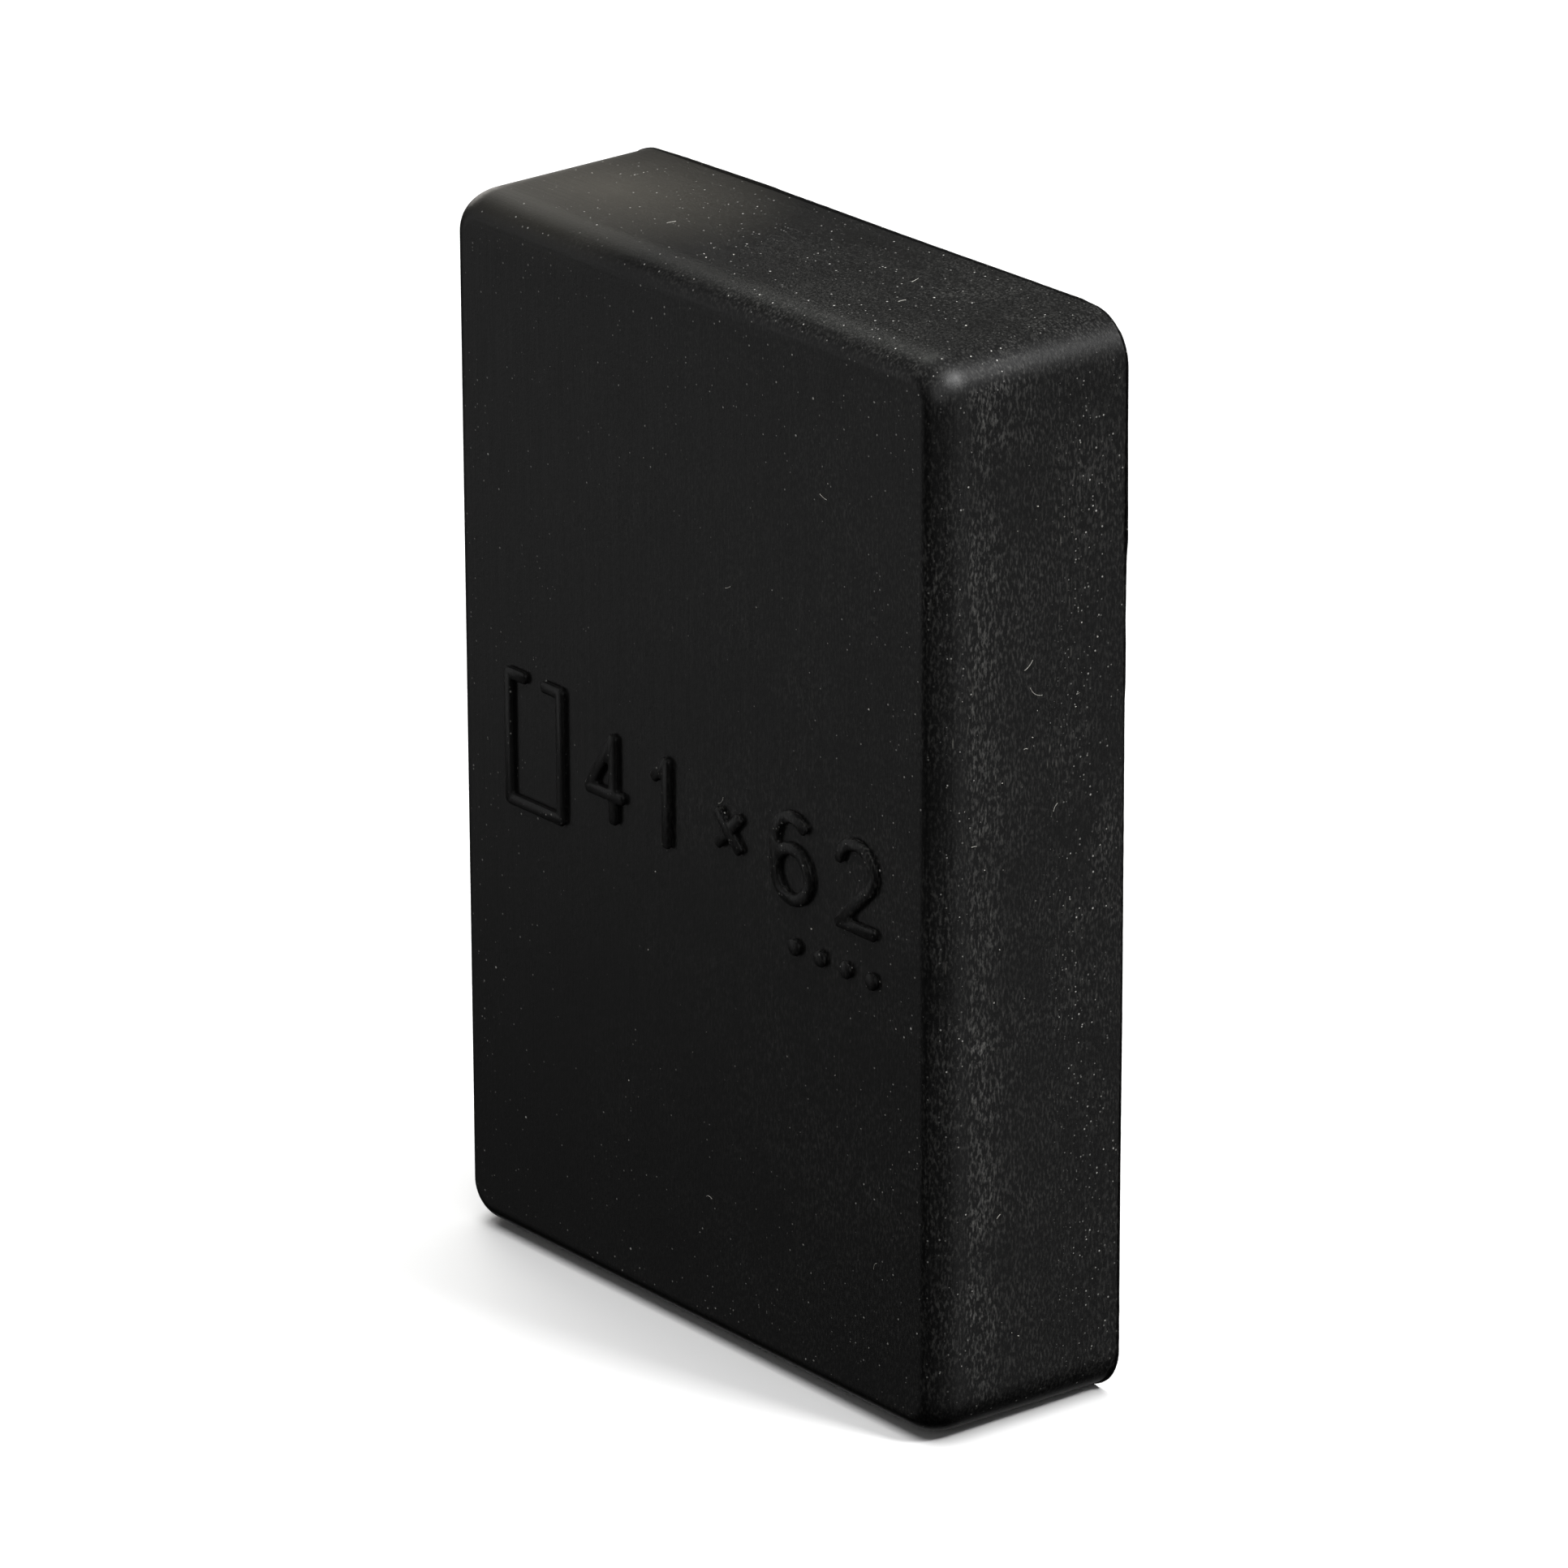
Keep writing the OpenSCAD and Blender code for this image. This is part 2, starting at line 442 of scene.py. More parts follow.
        # Each layer of relief has its real height in millimetres.
        relief: NodeSocket | None = None
        for height_mm, mask in ((0.004, peel), (0.0025, lines), (0.004, grain), (0.008, dust)):
            settings = {"Strength": 1.0, "Distance": height_mm * MM}
            links = {"Height": mask} if relief is None else {"Height": mask, "Normal": relief}
            relief = add_node(tree, "ShaderNodeBump", settings, links).outputs["Normal"]

        shader = add_node(
            tree,
            "ShaderNodeBsdfPrincipled",
            {"IOR": 1.5, "Metallic": 0.0},
            {"Base Color": colour, "Roughness": dulled.outputs[0], "Normal": relief},
        )
        add_node(tree, "ShaderNodeOutputMaterial", {}, {"Surface": shader.outputs["BSDF"]})
        return material


@dataclass(frozen=True)
class PlainFinish:
    """A finish of one substance with a little unevenness, for the small loose things and the floor."""

    name: str
    light: str
    dark: str
    roughness: float
    patch_mm: float

    def material(self) -> Material:
        """Builds the material.

        Returns:
            A rough material that wanders between its two colours.
        """
        material, tree = blank_material(self.name)
        place = add_node(tree, "ShaderNodeTexCoord").outputs["Object"]
        cloud = add_node(
            tree,
            "ShaderNodeTexNoise",
            {"Scale": per_metre(self.patch_mm), "Detail": 2.0},
            {"Vector": place},
        )
        settings = {"data_type": "RGBA", 6: linear(self.dark), 7: linear(self.light)}
        tone = add_node(tree, "ShaderNodeMix", settings, {"Factor": cloud.outputs["Fac"]})
        shader = add_node(
            tree,
            "ShaderNodeBsdfPrincipled",
            {"Roughness": self.roughness, "Metallic": 0.0},
            {"Base Color": tone.outputs[2]},
        )
        add_node(tree, "ShaderNodeOutputMaterial", {}, {"Surface": shader.outputs["BSDF"]})
        return material


# Cotton lint is a translucent off-white fibre that looks like a pale hair.
COTTON_LINT = PlainFinish("cotton_lint", "#cfcdc6", "#a9a79f", 0.9, 0.5)
# Mineral dust is a dull pale grey grain.
MINERAL_GRIT = PlainFinish("mineral_grit", "#d8d6cf", "#8f8d86", 1.0, 0.2)
# Matt background paper is an even near-white.
BACKGROUND_PAPER = PlainFinish("background_paper", "#f7f7f7", "#f2f2f2", 1.0, 300.0)


# ---- The moulding ------------------------------------------------------------


class Wall(Enum):
    """A wall of the skirt, by the direction that it faces across the rail."""

    TOP = (0, 1)
    RIGHT = (1, 0)
    BOTTOM = (0, -1)
    LEFT = (-1, 0)

    @property
    def outward(self) -> Vector:
        """The wall's outward direction."""
        return Vector((self.value[0], 0, self.value[1]))

    @property
    def onward(self) -> Vector:
        """The direction to the next wall, going round by the right from the top."""
        return Vector((self.value[1], 0, -self.value[0]))


@dataclass
class Ring:
    """A rounded rectangle that a section is swept round: the rectangle of its corners' centres."""

    half_w: float
    half_h: float

    def half_length(self, wall: Wall) -> float:
        """Returns half of a wall's straight length."""
        return self.half_w if wall.value[0] == 0 else self.half_h

    def corner_after(self, wall: Wall) -> Vector:
        """Returns the centre of the corner at a wall's far end."""
        return wall.outward * self.reach(wall) + wall.onward * self.half_length(wall)

    def reach(self, wall: Wall) -> float:
        """Returns the distance from the axis to the line of a wall's corner centres."""
        return self.half_h if wall.value[0] == 0 else self.half_w


@dataclass
class TrimmedFlash:
    """The thin fin at the mould's parting line, cut back by hand and left uneven.

    Each wall's stub is a broken line of places along the wall, from -1 to 1 going round by the right, and
    widths in millimetres. A sudden change is where one cut of the shears ends and the next begins.
    """

    thickness: float = 0.09 * MM
    least_mm: float = 0.02
    nick_mm: float = 0.02
    nick_rate: float = 45
    top: tuple[tuple[float, float], ...] = (
        (-1.0, 0.24), (-0.92, 0.05), (-0.75, 0.14), (-0.38, 0.2), (-0.36, 0.16), (0.1, 0.13),
        (0.75, 0.11), (0.84, 0.14), (0.86, 0.04), (1.0, 0.06),
    )
    right: tuple[tuple[float, float], ...] = (
        (-1.0, 0.1), (-0.8, 0.12), (-0.6, 0.2), (-0.57, 0.09), (-0.45, 0.04), (-0.42, 0.08),
        (-0.34, 0.08), (-0.31, 0.02), (-0.05, 0.05), (0.4, 0.08), (1.0, 0.14),
    )
    bottom: tuple[tuple[float, float], ...] = (
        (-1.0, 0.12), (-0.5, 0.05), (-0.46, 0.13), (0.2, 0.16), (0.22, 0.07), (0.8, 0.1),
        (0.83, 0.18), (1.0, 0.2),
    )
    left: tuple[tuple[float, float], ...] = (
        (-1.0, 0.16), (-0.7, 0.08), (-0.2, 0.06), (-0.18, 0.15), (0.3, 0.17), (0.33, 0.06),
        (0.9, 0.05), (0.94, 0.24), (1.0, 0.26),
    )

    def stub(self, wall: Wall, along: float) -> float:
        """Returns how far the flash still stands out at a place along a wall, from -1 to 1."""
        knots = {Wall.TOP: self.top, Wall.RIGHT: self.right, Wall.BOTTOM: self.bottom, Wall.LEFT: self.left}
        row = Vector((along * self.nick_rate, wall.value[0] * 3, wall.value[1] * 5))
        nick = self.nick_mm * noise.noise(row)
        return max(self.least_mm, stub_between(knots[wall], along) + nick) * MM


@dataclass
class CapMoulding:
    """The whole cap: closing plate, skirt, socket and ribs, as they come from the mould and the shears."""

    low: Vector
    high: Vector
    relief: float = 0.3 * MM
    rail_w: float = 41 * MM
    rail_h: float = 62 * MM
    corner_r: float = 3 * MM
    edge_r: float = 1.6 * MM
    edge_run: float = 2.6 * MM
    outer_draft: float = math.radians(1)
    socket_gap: float = 0.2 * MM
    socket_draft: float = math.radians(0.5)
    rail_corner_r: float = 2 * MM
    floor_r: float = 0.5 * MM
    lead_in: float = 0.8 * MM
    lead_in_angle: float = math.radians(40)
    lip_r: float = 0.12 * MM
    rib_r: float = 1 * MM
    rib_bite: float = 0.15 * MM
    rib_pitch: float = 17 * MM
    rib_taper: float = 4 * MM
    rib_setback: float = 1.5 * MM
    ribs_tall: int = 3
    ribs_short: int = 2
    step: float = 0.5 * MM
    corner_steps: int = 14
    fillet_steps: int = 16
    wall_steps: int = 14
    rim_wave: float = 0.07 * MM
    rim_bow: float = 0.05 * MM
    wave_length: float = 16 * MM
    face_sink: float = 0.06 * MM
    # Narrow flat strips beside each bend keep the shading of the flats true.
    face_strip: float = 0.35 * MM
    edge_strip: float = 0.1 * MM
    floor_strip: float = 0.25 * MM
    fin_step: float = 0.02 * MM
    rim_strip: float = 0.15 * MM
    rim_width: float = 0.8 * MM
    face_rings: tuple[float, ...] = (0.97, 0.9, 0.8, 0.68, 0.54, 0.4, 0.26, 0.13)

    def __post_init__(self) -> None:
        """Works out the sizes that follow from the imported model's box."""
        self.rim_y = self.high.y
        self.face_y = self.low.y + self.relief
        self.half_w = (self.high.x - self.low.x) / 2
        self.half_h = (self.high.z - self.low.z) / 2
        self.outer = Ring(self.half_w - self.corner_r, self.half_h - self.corner_r)
        mouth_gap = self.socket_gap + self.rim_y * math.tan(self.socket_draft)
        self.mouth_r = self.rail_corner_r + mouth_gap
        self.socket = Ring(
            self.rail_w / 2 + mouth_gap - self.mouth_r,
            self.rail_h / 2 + mouth_gap - self.mouth_r,
        )
        self.flash = TrimmedFlash()

    def outer_section(self) -> list[tuple[float, float]]:
        """Draws the outside of the wall, from the closed face over its rounded edge to the flash and rim.

        Returns:
            Points of distance from the ring and of y.
        """
        lean = math.tan(self.outer_draft)
        # The rounded edge runs out further along the wall than across the face, and meets the draft.
        quarter = math.atan(self.edge_r / (self.edge_run * lean))
        run_out_y = self.face_y + self.edge_run * (1 - math.cos(quarter))
        round_out = self.corner_r - (self.rim_y - run_out_y) * lean - self.edge_r * math.sin(quarter)
        points = [(round_out - strip, self.face_y) for strip in (self.face_strip, self.edge_strip)]
        for i in range(self.fillet_steps + 1):
            turn = quarter * i / self.fillet_steps
            out = round_out + self.edge_r * math.sin(turn)
            points.append((out, self.face_y + self.edge_run * (1 - math.cos(turn))))
        foot_out, foot_y = points[-1]
        fin_y = self.rim_y - self.flash.thickness
        for i in range(1, self.wall_steps + 1):
            share = i / self.wall_steps
            out = foot_out + (self.corner_r - foot_out) * share
            points.append((out, foot_y + (fin_y - foot_y) * share))
        tip = self.corner_r + self.flash.least_mm * MM
        points += [(tip, fin_y + self.fin_step), (tip, self.rim_y)]
        points += [(self.corner_r - strip, self.rim_y) for strip in (self.rim_strip, self.rim_width)]
        return points

    def socket_section(self) -> list[tuple[float, float]]:
        """Draws the inside of the wall, from the rim over the lead-in and down the socket to its floor.

        Returns:
            Points of distance from the socket's ring and of y.
        """
        slope = math.tan(self.lead_in_angle)
        depth = self.lead_in / slope
        opened = self.mouth_r + self.lead_in
        lean = math.tan(self.socket_draft)
        points = [(opened + self.lip_r, self.rim_y), (opened, self.rim_y - self.lip_r * 0.3)]
        points.append((opened - self.lip_r * slope, self.rim_y - self.lip_r * 1.3))
        points.append((self.mouth_r + self.lip_r * slope, self.rim_y - depth + self.lip_r))
        floor_out = self.mouth_r - self.rim_y * lean - self.floor_r
        top_y = self.rim_y - depth - self.lip_r
        for i in range(self.wall_steps + 1):
            y = top_y + (self.floor_r - top_y) * i / self.wall_steps
            points.append((self.mouth_r - (self.rim_y - y) * lean, y))
        for i in range(1, self.fillet_steps + 1):
            turn = math.pi / 2 * i / self.fillet_steps
            out = floor_out + self.floor_r * math.cos(turn)
            points.append((out, self.floor_r * (1 - math.sin(turn))))
        points.append((floor_out - self.floor_strip, 0.0))
        return points

    def sweep(self, shape: BMesh, ring: Ring, section: list[tuple[float, float]]) -> None:
        """Sweeps a section round a ring, wall by wall and corner by corner.

        Args:
            shape: The bmesh to add to.
            ring: The rectangle of corner centres.
            section: Points of distance from the ring and of y.
        """
        start = -Wall.TOP.onward * ring.half_w + Wall.TOP.outward * ring.half_h
        line = [shape.verts.new(start + Wall.TOP.outward * out + Vector((0, y, 0))) for out, y in section]
        geometry: list[BMVert | BMEdge] = list(line)
        geometry += [shape.edges.new(pair) for pair in zip(line, line[1:])]
        for wall in Wall:
            # Both rings take their steps from the outer one, so that their loops can be bridged.
            steps = round(2 * self.outer.half_length(wall) / self.step)
            pace = wall.onward * (2 * ring.half_length(wall) / steps)
            geometry = bmesh.ops.spin(
                shape, geom=geometry, cent=(0, 0, 0), axis=(0, 1, 0), dvec=pace, angle=0, steps=steps
            )["geom_last"]
            geometry = bmesh.ops.spin(
                shape,
                geom=geometry,
                cent=ring.corner_after(wall),
                axis=(0, 1, 0),
                dvec=(0, 0, 0),
                angle=math.pi / 2,
                steps=self.corner_steps,
            )["geom_last"]
        bmesh.ops.remove_doubles(shape, verts=shape.verts, dist=MERGE)

    def close_flat(self, shape: BMesh, y: float, sink: float) -> None:
        """Fills a flat end with rings that shrink to its middle, dished a little as rubber cools.

        Args:
            shape: The bmesh to add to.
            y: Where the open end lies.
            sink: How far its middle sinks into the plate.
        """
        edges = [e for e in shape.edges if e.is_boundary and all(abs(v.co.y - y) < MERGE for v in e.verts)]
        inward = 1.0 if y < 0 else -1.0
        width = 1.0
        for share in self.face_rings:
            grown = bmesh.ops.extrude_edge_only(shape, edges=edges)["geom"]
            verts = [g for g in grown if isinstance(g, BMVert)]
            edges = [g for g in grown if isinstance(g, BMEdge) and g.is_boundary]
            bmesh.ops.scale(shape, vec=(share / width, 1, share / width), verts=verts)
            width = share
            bmesh.ops.translate(shape, vec=(0, inward * sink / len(self.face_rings), 0), verts=verts)
        bmesh.ops.contextual_create(shape, geom=edges)

    def place_along(self, point: Vector) -> tuple[Wall, float]:
        """Finds the wall that a point of the rim belongs to, and its place along it.

        Args:
            point: A point at or near the outside.

        Returns:
            The wall, and a place from -1 to 1 going round by the right.
        """
        wall = max(Wall, key=lambda w: point.dot(w.outward) - self.outer.reach(w))
        along = point.dot(wall.onward) / (self.outer.half_length(wall) + self.corner_r)
        return wall, max(-1.0, min(1.0, along))

    def trim(self, shape: BMesh) -> None:
        """Draws the flash out to the width that the shears left at each place."""
        for vert in shape.verts:
            core = Vector(
                (
                    max(-self.outer.half_w, min(self.outer.half_w, vert.co.x)),
                    vert.co.y,
                    max(-self.outer.half_h, min(self.outer.half_h, vert.co.z)),
                )
            )
            out = vert.co - core
            if out.length > self.corner_r + self.flash.least_mm * MM / 2:
                wall, along = self.place_along(vert.co)
                vert.co = core + out.normalized() * (self.corner_r + self.flash.stub(wall, along))

    def flex(self, shape: BMesh) -> None:
        """Lets the free edge of the skirt wander from its mould shape, as soft rubber does."""
        for vert in shape.verts:
            reach = max(0.0, vert.co.y / self.rim_y) ** 2
            if reach == 0:
                continue
            across, up = vert.co.x / self.half_w, vert.co.z / self.half_h
            sway = noise.noise(Vector((3.1, 0, vert.co.z / self.wave_length)))
            heave = noise.noise(Vector((vert.co.x / self.wave_length, 0, 7.7)))
            bow_x = self.rim_bow * (1 - up * up) + self.rim_wave * sway
            bow_z = self.rim_bow * (1 - across * across) + self.rim_wave * heave
            vert.co.x += across**3 * reach * bow_x
            vert.co.z += up**3 * reach * bow_z

    def rib(self, shape: BMesh, wall: Wall, along: float) -> None:
        """Adds one grip rib: a round bar along the rail, sunk in a wall and tapered towards the mouth.

        Args:
            shape: The bmesh to add to.
            wall: The wall that carries it.
            along: Its distance from the wall's middle.
        """
        rail_half = self.rail_h / 2 if wall.value[0] == 0 else self.rail_w / 2
        centre = wall.outward * (rail_half - self.rib_bite + self.rib_r) + wall.onward * along
        length = self.rim_y - self.rib_setback
        mouth_gap = self.mouth_r - self.rail_corner_r
        end_r = self.rib_r - self.rib_bite - mouth_gap
        root = self.floor_r
        for radius1, radius2, low, high in (
            (self.rib_r, self.rib_r, -root, length - self.rib_taper),
            (self.rib_r, end_r, length - self.rib_taper, length),
        ):
            turn = Matrix.Translation(centre + Vector((0, (low + high) / 2, 0))) @ Matrix.Rotation(
                -math.pi / 2, 4, "X"
            )
            bmesh.ops.create_cone(
                shape,
                cap_ends=True,
                segments=48,
                radius1=radius1,
                radius2=radius2,
                depth=high - low,
                matrix=turn,
            )

    def build(self, material: Material) -> Object:
        """Builds the moulding and dresses it.

        Args:
            material: The rubber.

        Returns:
            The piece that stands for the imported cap.
        """
        shape = bmesh.new()
        self.sweep(shape, self.outer, self.outer_section())
        outer_rim = self.open_loop(shape)
        self.sweep(shape, self.socket, self.socket_section())
        inner_rim = [e for e in self.open_loop(shape) if e not in set(outer_rim)]
        bmesh.ops.bridge_loops(shape, edges=outer_rim + inner_rim)
        self.close_flat(shape, self.face_y, self.face_sink)
        self.close_flat(shape, 0.0, 0.0)
        bmesh.ops.recalc_face_normals(shape, faces=shape.faces)
        self.trim(shape)
        for wall, count in ((Wall.TOP, self.ribs_short), (Wall.RIGHT, self.ribs_tall)):
            for side in (wall, Wall((-wall.value[0], -wall.value[1]))):
                for i in range(count):
                    self.rib(shape, side, (i - (count - 1) / 2) * self.rib_pitch)
        self.flex(shape)
        return new_piece("cap_moulding", shape, material)

    def open_loop(self, shape: BMesh) -> list[BMEdge]:
        """Returns the open edges that lie in the rim's plane."""
        rim = self.rim_y
        return [e for e in shape.edges if e.is_boundary and all(abs(v.co.y - rim) < MERGE for v in e.verts)]


@dataclass
class SizeMark:
    """The raised size mark on the closed face, its edges softened as a cut steel cavity leaves them."""

    face_y: float
    relief: float
    first_inset: float = 0.05 * MM
    second_inset: float = 0.09 * MM
    first_rise: float = 0.1 * MM
    second_rise: float = 0.05 * MM
    root: float = 0.15 * MM

    def build(self, node: Object, material: Material) -> Object:
        """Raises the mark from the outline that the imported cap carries.

        The skirt hangs from the first inset's loop, so the outermost strip is open underneath.

        Args:
            node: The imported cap.
            material: The rubber.

        Returns:
            The mark, its skirt sunk in the closed face.
        """
        shape = bmesh.new()
        shape.from_mesh(node.data)
        bmesh.ops.remove_doubles(shape, verts=shape.verts, dist=MERGE)
        crest = self.face_y - self.relief
        spare = [f for f in shape.faces if any(abs(v.co.y - crest) > MERGE for v in f.verts)]
        bmesh.ops.delete(shape, geom=spare, context="FACES")
        loose = [v for v in shape.verts if not v.link_faces]
        bmesh.ops.delete(shape, geom=loose, context="VERTS")
        bmesh.ops.dissolve_limit(shape, angle_limit=FLAT, verts=shape.verts, edges=shape.edges)
        rise = self.first_rise + self.second_rise
        bmesh.ops.translate(shape, vec=(0, rise, 0), verts=shape.verts)
        foot = [e for e in shape.edges if e.is_boundary]
        tops = list(shape.faces)
        for inset, lift in ((self.first_inset, self.first_rise), (self.second_inset, self.second_rise)):
            bmesh.ops.inset_region(
                shape, faces=tops, thickness=inset, depth=lift, use_boundary=True, use_even_offset=True
            )
        grown = bmesh.ops.extrude_edge_only(shape, edges=foot)["geom"]
        verts = [g for g in grown if isinstance(g, BMVert)]
        bmesh.ops.translate(shape, vec=(0, self.relief - rise + self.root, 0), verts=verts)
        return new_piece("raised_size_mark", shape, material)


# ---- What clings to the rubber -----------------------------------------------


class Face(Enum):
    """A face that dust settles on, by its outward direction."""

    CLOSED = (0, -1, 0)
    RIGHT = (1, 0, 0)
    LEFT = (-1, 0, 0)
    TOP = (0, 0, 1)


@dataclass
class Clinging:
    """Things scattered over the cap's faces, in an order that a seed fixes."""

    cap: CapMoulding
    seed: int
    clear: float = 0.86

    def __post_init__(self) -> None:
        """Starts the draw."""
        self.draw = random.Random(self.seed)

    def seat(self, face: Face, across: float, up: float, lift: float) -> Matrix:
        """Finds a place on a face.

        Args:
            face: The face.
            across: The place along the face's first direction, from -1 to 1.
            up: The place along its second direction, from -1 to 1.
            lift: The height above the surface.

        Returns:
            A matrix whose Z axis leaves the face there.
        """
        cap = self.cap
        middle_y = (cap.face_y + cap.rim_y) / 2
        half_y = (cap.rim_y - cap.face_y) / 2 - cap.edge_r
        lean = math.tan(cap.outer_draft)
        if face is Face.CLOSED:
            x, z = across * cap.half_w * self.clear, up * cap.half_h * self.clear
            spot = Vector((x, cap.face_y - lift, z))
        elif face is Face.TOP:
            y = middle_y + up * half_y
            spot = Vector((across * cap.half_w * self.clear, y, cap.half_h - (cap.rim_y - y) * lean + lift))
        else:
            y = middle_y + across * half_y
            out = cap.half_w - (cap.rim_y - y) * lean + lift
            spot = Vector((face.value[0] * out, y, up * cap.half_h * self.clear))
        return Matrix.Translation(spot) @ Vector(face.value).to_track_quat("Z", "Y").to_matrix().to_4x4()


@dataclass
class LintFibres(Clinging):
    """Short cotton fibres, each a bent thread that lies on the rubber."""

    radius: float = 0.016 * MM
    sides: int = 6
    steps: int = 10
    # Face, place across, place up, length in mm, bend in degrees and turn on the face in degrees.
    laid: tuple[tuple[Face, float, float, float, float, float], ...] = (
        (Face.RIGHT, 0.62, 0.4, 0.95, 12, 98),
        (Face.RIGHT, -0.02, 0.44, 1.2, 70, 20),
        (Face.RIGHT, -0.1, 0.48, 0.8, 40, 110),
        (Face.CLOSED, 0.18, 0.52, 0.55, 30, 100),
        (Face.CLOSED, 0.62, 0.8, 0.7, 25, 60),
        (Face.TOP, 0.5, 0.35, 0.8, 20, 10),
        (Face.TOP, 0.62, -0.1, 0.6, 60, 150),
    )
    extra: int = 14

    def fibre(self, shape: BMesh, place: Matrix, length: float, bend: float) -> None:
        """Adds one fibre as a thin ring swept along an arc.

        Args:
            shape: The bmesh to add to.
            place: Where it lies.
            length: Its length.
            bend: The angle that it turns through, in radians.
        """
        arc_r = length / bend
        ring = bmesh.ops.create_circle(
            shape,
            cap_ends=True,
            segments=self.sides,
            radius=self.radius,
            matrix=Matrix.Rotation(math.pi / 2, 4, "X"),
        )["verts"]
        faces = list({f for v in ring for f in v.link_faces})
        edges = list({e for v in ring for e in v.link_edges})
        swept = bmesh.ops.spin(
            shape,
            geom=ring + edges + faces,
            cent=(arc_r, 0, 0),
            axis=(0, 0, 1),
            dvec=(0, 0, 0),
            angle=bend,
            steps=self.steps,
        )["geom_last"]
        ends = [v for v in swept if isinstance(v, BMVert)]
        grown = set(ring) | set(ends)
        walk = list(grown)
        while walk:
            vert = walk.pop()
            for edge in vert.link_edges:
                other = edge.other_vert(vert)
                if other not in grown:
                    grown.add(other)
                    walk.append(other)
        bmesh.ops.transform(shape, matrix=place, verts=list(grown))

    def build(self, material: Material) -> Object:
        """Lays the fibres.

        Args:
            material: Cotton.

        Returns:
            All the fibres as one piece.
        """
        shape = bmesh.new()
        laid = list(self.laid)
        for _ in range(self.extra):
            face = self.draw.choice((Face.CLOSED, Face.RIGHT, Face.RIGHT, Face.TOP, Face.LEFT))
            spot = (self.draw.uniform(-0.95, 0.95), self.draw.uniform(-0.95, 0.95))
            length, bend = self.draw.uniform(0.3, 0.8), self.draw.uniform(10, 90)
            laid.append((face, *spot, length, bend, self.draw.uniform(0, 360)))
        for face, across, up, length, bend, turn in laid:
            place = self.seat(face, across, up, self.radius) @ Matrix.Rotation(math.radians(turn), 4, "Z")
            self.fibre(shape, place, length * MM, math.radians(bend))
        bmesh.ops.recalc_face_normals(shape, faces=shape.faces)
        return new_piece("lint_fibres", shape, material)


@dataclass
class GritGrains(Clinging):
    """The largest dust grains, which stand up from the rubber."""

    count: int = 90
    least: float = 0.025 * MM
    most: float = 0.075 * MM

    def build(self, material: Material) -> Object:
        """Scatters the grains.

        Args:
            material: Mineral grit.

        Returns:
            All the grains as one piece.
        """
        shape = bmesh.new()
        faces = (Face.CLOSED, Face.CLOSED, Face.RIGHT, Face.RIGHT, Face.RIGHT, Face.TOP, Face.LEFT)
        for _ in range(self.count):
            face = self.draw.choice(faces)
            across, up = self.draw.uniform(-1, 1), self.draw.uniform(-1, 1)
            if face is Face.CLOSED:
                across = max(across, self.draw.uniform(-1, 1))
            radius = self.least + (self.most - self.least) * self.draw.random() ** 3
            squash = Matrix.Diagonal((1, self.draw.uniform(0.5, 1), self.draw.uniform(0.4, 0.8), 1))
            turn = Matrix.Rotation(self.draw.uniform(0, math.tau), 4, "Z")
            place = self.seat(face, across, up, radius * 0.4) @ turn @ squash
            bmesh.ops.create_icosphere(shape, subdivisions=1, radius=radius, matrix=place)
        return new_piece("grit_grains", shape, material)


# ---- The studio --------------------------------------------------------------


@dataclass
class Softbox:
    """One soft rectangular light, aimed at a place on the cap.

    A grid narrows what it lights to a pool with a soft edge. A light that isn't mirrored stands for one
    that hangs where the rubber can't reflect it to a viewer.
    """

    name: str
    azimuth: float
    elevation: float
    distance: float
    width: float
    height: float
    watts: float
    colour: str = "#ffffff"
    aim: tuple[float, float, float] = (0.0, 0.0, 0.0)
    grid: float = 180.0
    mirrored: bool = True

    def place(self, centre: Vector) -> Object:
        """Hangs the light.

        Args:
            centre: The middle of the cap, which the aim is measured from.

        Returns:
            The light's object.
        """
        data = bpy.data.lights.new(self.name, "AREA")
        data.shape = "RECTANGLE"
        data.size = self.width
        data.size_y = self.height
        data.energy = self.watts
        data.color = linear(self.colour)[:3]
        data.spread = math.radians(self.grid)
        light = bpy.data.objects.new(self.name, data)
        light.visible_camera = False
        light.visible_glossy = self.mirrored
        back = bearing(self.azimuth, self.elevation)
        light.location = centre + Vector(self.aim) + back * self.distance
        light.rotation_mode = "QUATERNION"
        light.rotation_quaternion = back.to_track_quat("Z", "Y")
        bpy.context.scene.collection.objects.link(light)
        return light


def bearing(azimuth: float, elevation: float) -> Vector:
    """Returns the direction from the cap to a viewer: azimuth 0 is before the closed face, 90 the right."""
    a, e = math.radians(azimuth), math.radians(elevation)
    return Vector((math.sin(a) * math.cos(e), -math.cos(a) * math.cos(e), math.sin(e)))


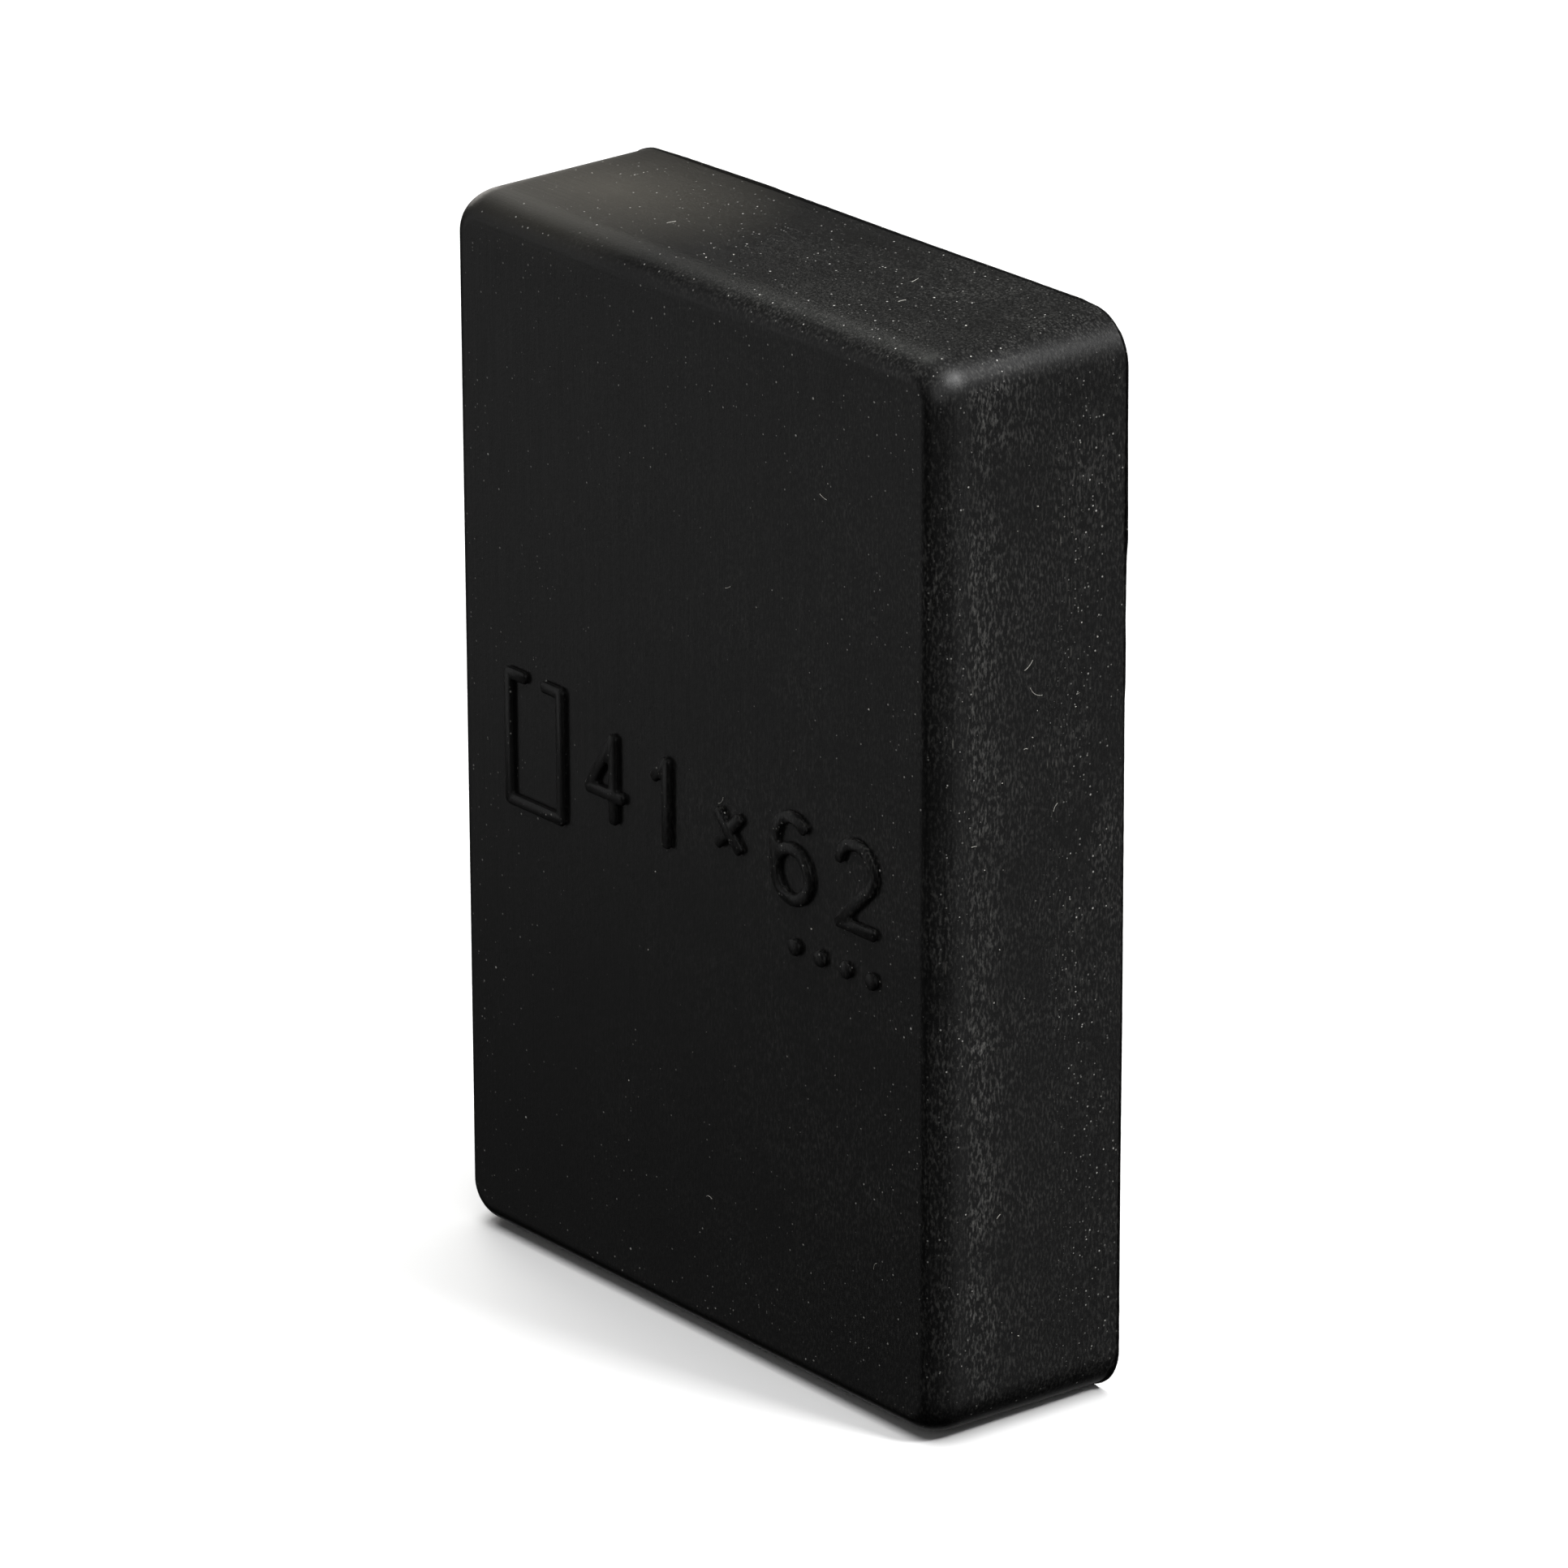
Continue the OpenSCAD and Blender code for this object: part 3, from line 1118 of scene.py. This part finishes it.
@dataclass
class Studio:
    """A plain pale floor, soft light and the camera."""

    low: Vector
    azimuth: float = 51.26
    elevation: float = 20.43
    roll: float = -0.21
    distance_in_widths: float = 12.026
    focal_in_widths: float = 5.973
    aside: float = -0.005
    above: float = -0.003
    floor_size: float = 6.0
    sensor: float = 36.0
    nearest: float = 0.05
    farthest: float = 50.0

    def camera(self, cap: CapMoulding) -> Object:
        """Sets up the camera.

        Args:
            cap: The moulding that it is aimed at.

        Returns:
            The camera's object.
        """
        width = 2 * cap.half_w
        centre = Vector((0, (cap.face_y + cap.rim_y) / 2, 0))
        back = bearing(self.azimuth, self.elevation)
        level = Vector((0, 0, 1)).cross(back).normalized()
        upright = back.cross(level)
        tilt = math.radians(self.roll)
        right = level * math.cos(tilt) + upright * math.sin(tilt)
        up = back.cross(right)
        data = bpy.data.cameras.new("camera")
        data.sensor_width = self.sensor
        data.lens = self.sensor * self.focal_in_widths
        data.clip_start = self.nearest
        data.clip_end = self.farthest
        camera = bpy.data.objects.new("camera", data)
        offset = back * self.distance_in_widths - right * self.aside - up * self.above
        camera.matrix_world = Matrix.Translation(centre + offset * width) @ Matrix(
            (right, up, back)
        ).transposed().to_4x4()
        bpy.context.scene.collection.objects.link(camera)
        bpy.context.scene.camera = camera
        return camera

    def floor(self, material: Material) -> Object:
        """Lays the floor under the cap.

        Args:
            material: Background paper.

        Returns:
            The floor's object.
        """
        shape = bmesh.new()
        bmesh.ops.create_grid(
            shape,
            x_segments=1,
            y_segments=1,
            size=self.floor_size / 2,
            matrix=Matrix.Translation((0, 0, self.low.z)),
        )
        floor = new_piece("floor", shape, material)
        # The floor acts as a light table: it takes the cap's shadow, and lets the low lights through.
        floor.visible_glossy = False
        floor.visible_diffuse = False
        floor.visible_shadow = False
        return floor

    def surroundings(self) -> None:
        """Makes the air pale behind the cap and dim where the rubber mirrors it."""
        world = bpy.data.worlds.new("studio")
        world.use_nodes = True
        tree = world.node_tree
        tree.nodes.clear()
        seen = add_node(tree, "ShaderNodeLightPath").outputs["Is Camera Ray"]
        pale = add_node(tree, "ShaderNodeBackground", {"Color": linear("#fdfdfd"), "Strength": 1.0})
        dim = add_node(tree, "ShaderNodeBackground", {"Color": linear("#ffffff"), "Strength": 0.0})
        mixed = add_node(tree, "ShaderNodeMixShader", {}, {0: seen, 1: dim.outputs[0], 2: pale.outputs[0]})
        add_node(tree, "ShaderNodeOutputWorld", {}, {"Surface": mixed.outputs[0]})
        bpy.context.scene.world = world
        bpy.context.scene.view_settings.view_transform = "Standard"

    def lights(self, target: Vector) -> list[Object]:
        """Hangs the softboxes.

        Args:
            target: The middle of the cap.

        Returns:
            The lights' objects.
        """
        boxes = (
            Softbox("overhead", 0, 89.9, 1.2, 1.6, 1.6, 29, mirrored=False),
            Softbox("front_left_table", 309, -20, 0.7, 0.4, 0.4, 0.054),
            Softbox("front_left_upper", 309, -12, 0.35, 0.1, 0.1, 0.0005, aim=(0.0, 0.0, 0.035), grid=14),
            Softbox("front_left_box", 309, 12, 0.7, 0.5, 0.5, 0.3),
            Softbox("back_left_strip", 252, 57, 0.5, 0.16, 0.1, 0.3, "#fdfff8", (0.01, 0.0, 0.03)),
            Softbox("back_left_close", 250, 12, 0.1, 0.05, 0.03, 0.019, "#fffaf4", (-0.03, 0.0, 0.034)),
            Softbox("right_spot", 107, 47, 0.6, 0.1, 0.1, 2.3),
            Softbox("front_box", 48, 22, 0.7, 0.3, 0.3, 0.5),
            Softbox("right_strip", 106, -15, 0.5, 0.1, 0.3, 0.09),
            Softbox("right_table", 129, -16, 0.4, 0.2, 0.15, 0.0011, aim=(0.0, 0.0, -0.03), grid=14),
            Softbox("under_table", 228, -42, 0.5, 0.35, 0.35, 0.1),
        )
        return [box.place(target) for box in boxes]


def main() -> None:
    """Builds the cap and its studio."""
    logging.basicConfig(level=logging.INFO, format="%(name)s: %(message)s")
    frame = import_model()
    low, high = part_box(NODE)
    cap = CapMoulding(Vector(low), Vector(high))

    studio = Studio(Vector(low))
    studio.camera(cap)
    studio.surroundings()
    studio.floor(BACKGROUND_PAPER.material())
    studio.lights(Vector((0, (cap.face_y + cap.rim_y) / 2, 0)))

    rubber = MouldedRubber().material()
    moulding = cap.build(rubber)
    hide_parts(NODE)
    mark = SizeMark(cap.face_y, cap.relief).build(frame["nodes"][NODE], rubber)
    lint = LintFibres(cap, seed=7).build(COTTON_LINT.material())
    grit = GritGrains(cap, seed=21).build(MINERAL_GRIT.material())
    for piece in (moulding, mark, lint, grit):
        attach(piece, BODY)
        log.info("%s: %d faces", piece.name, len(piece.data.polygons))


if __name__ == "__main__":
    main()
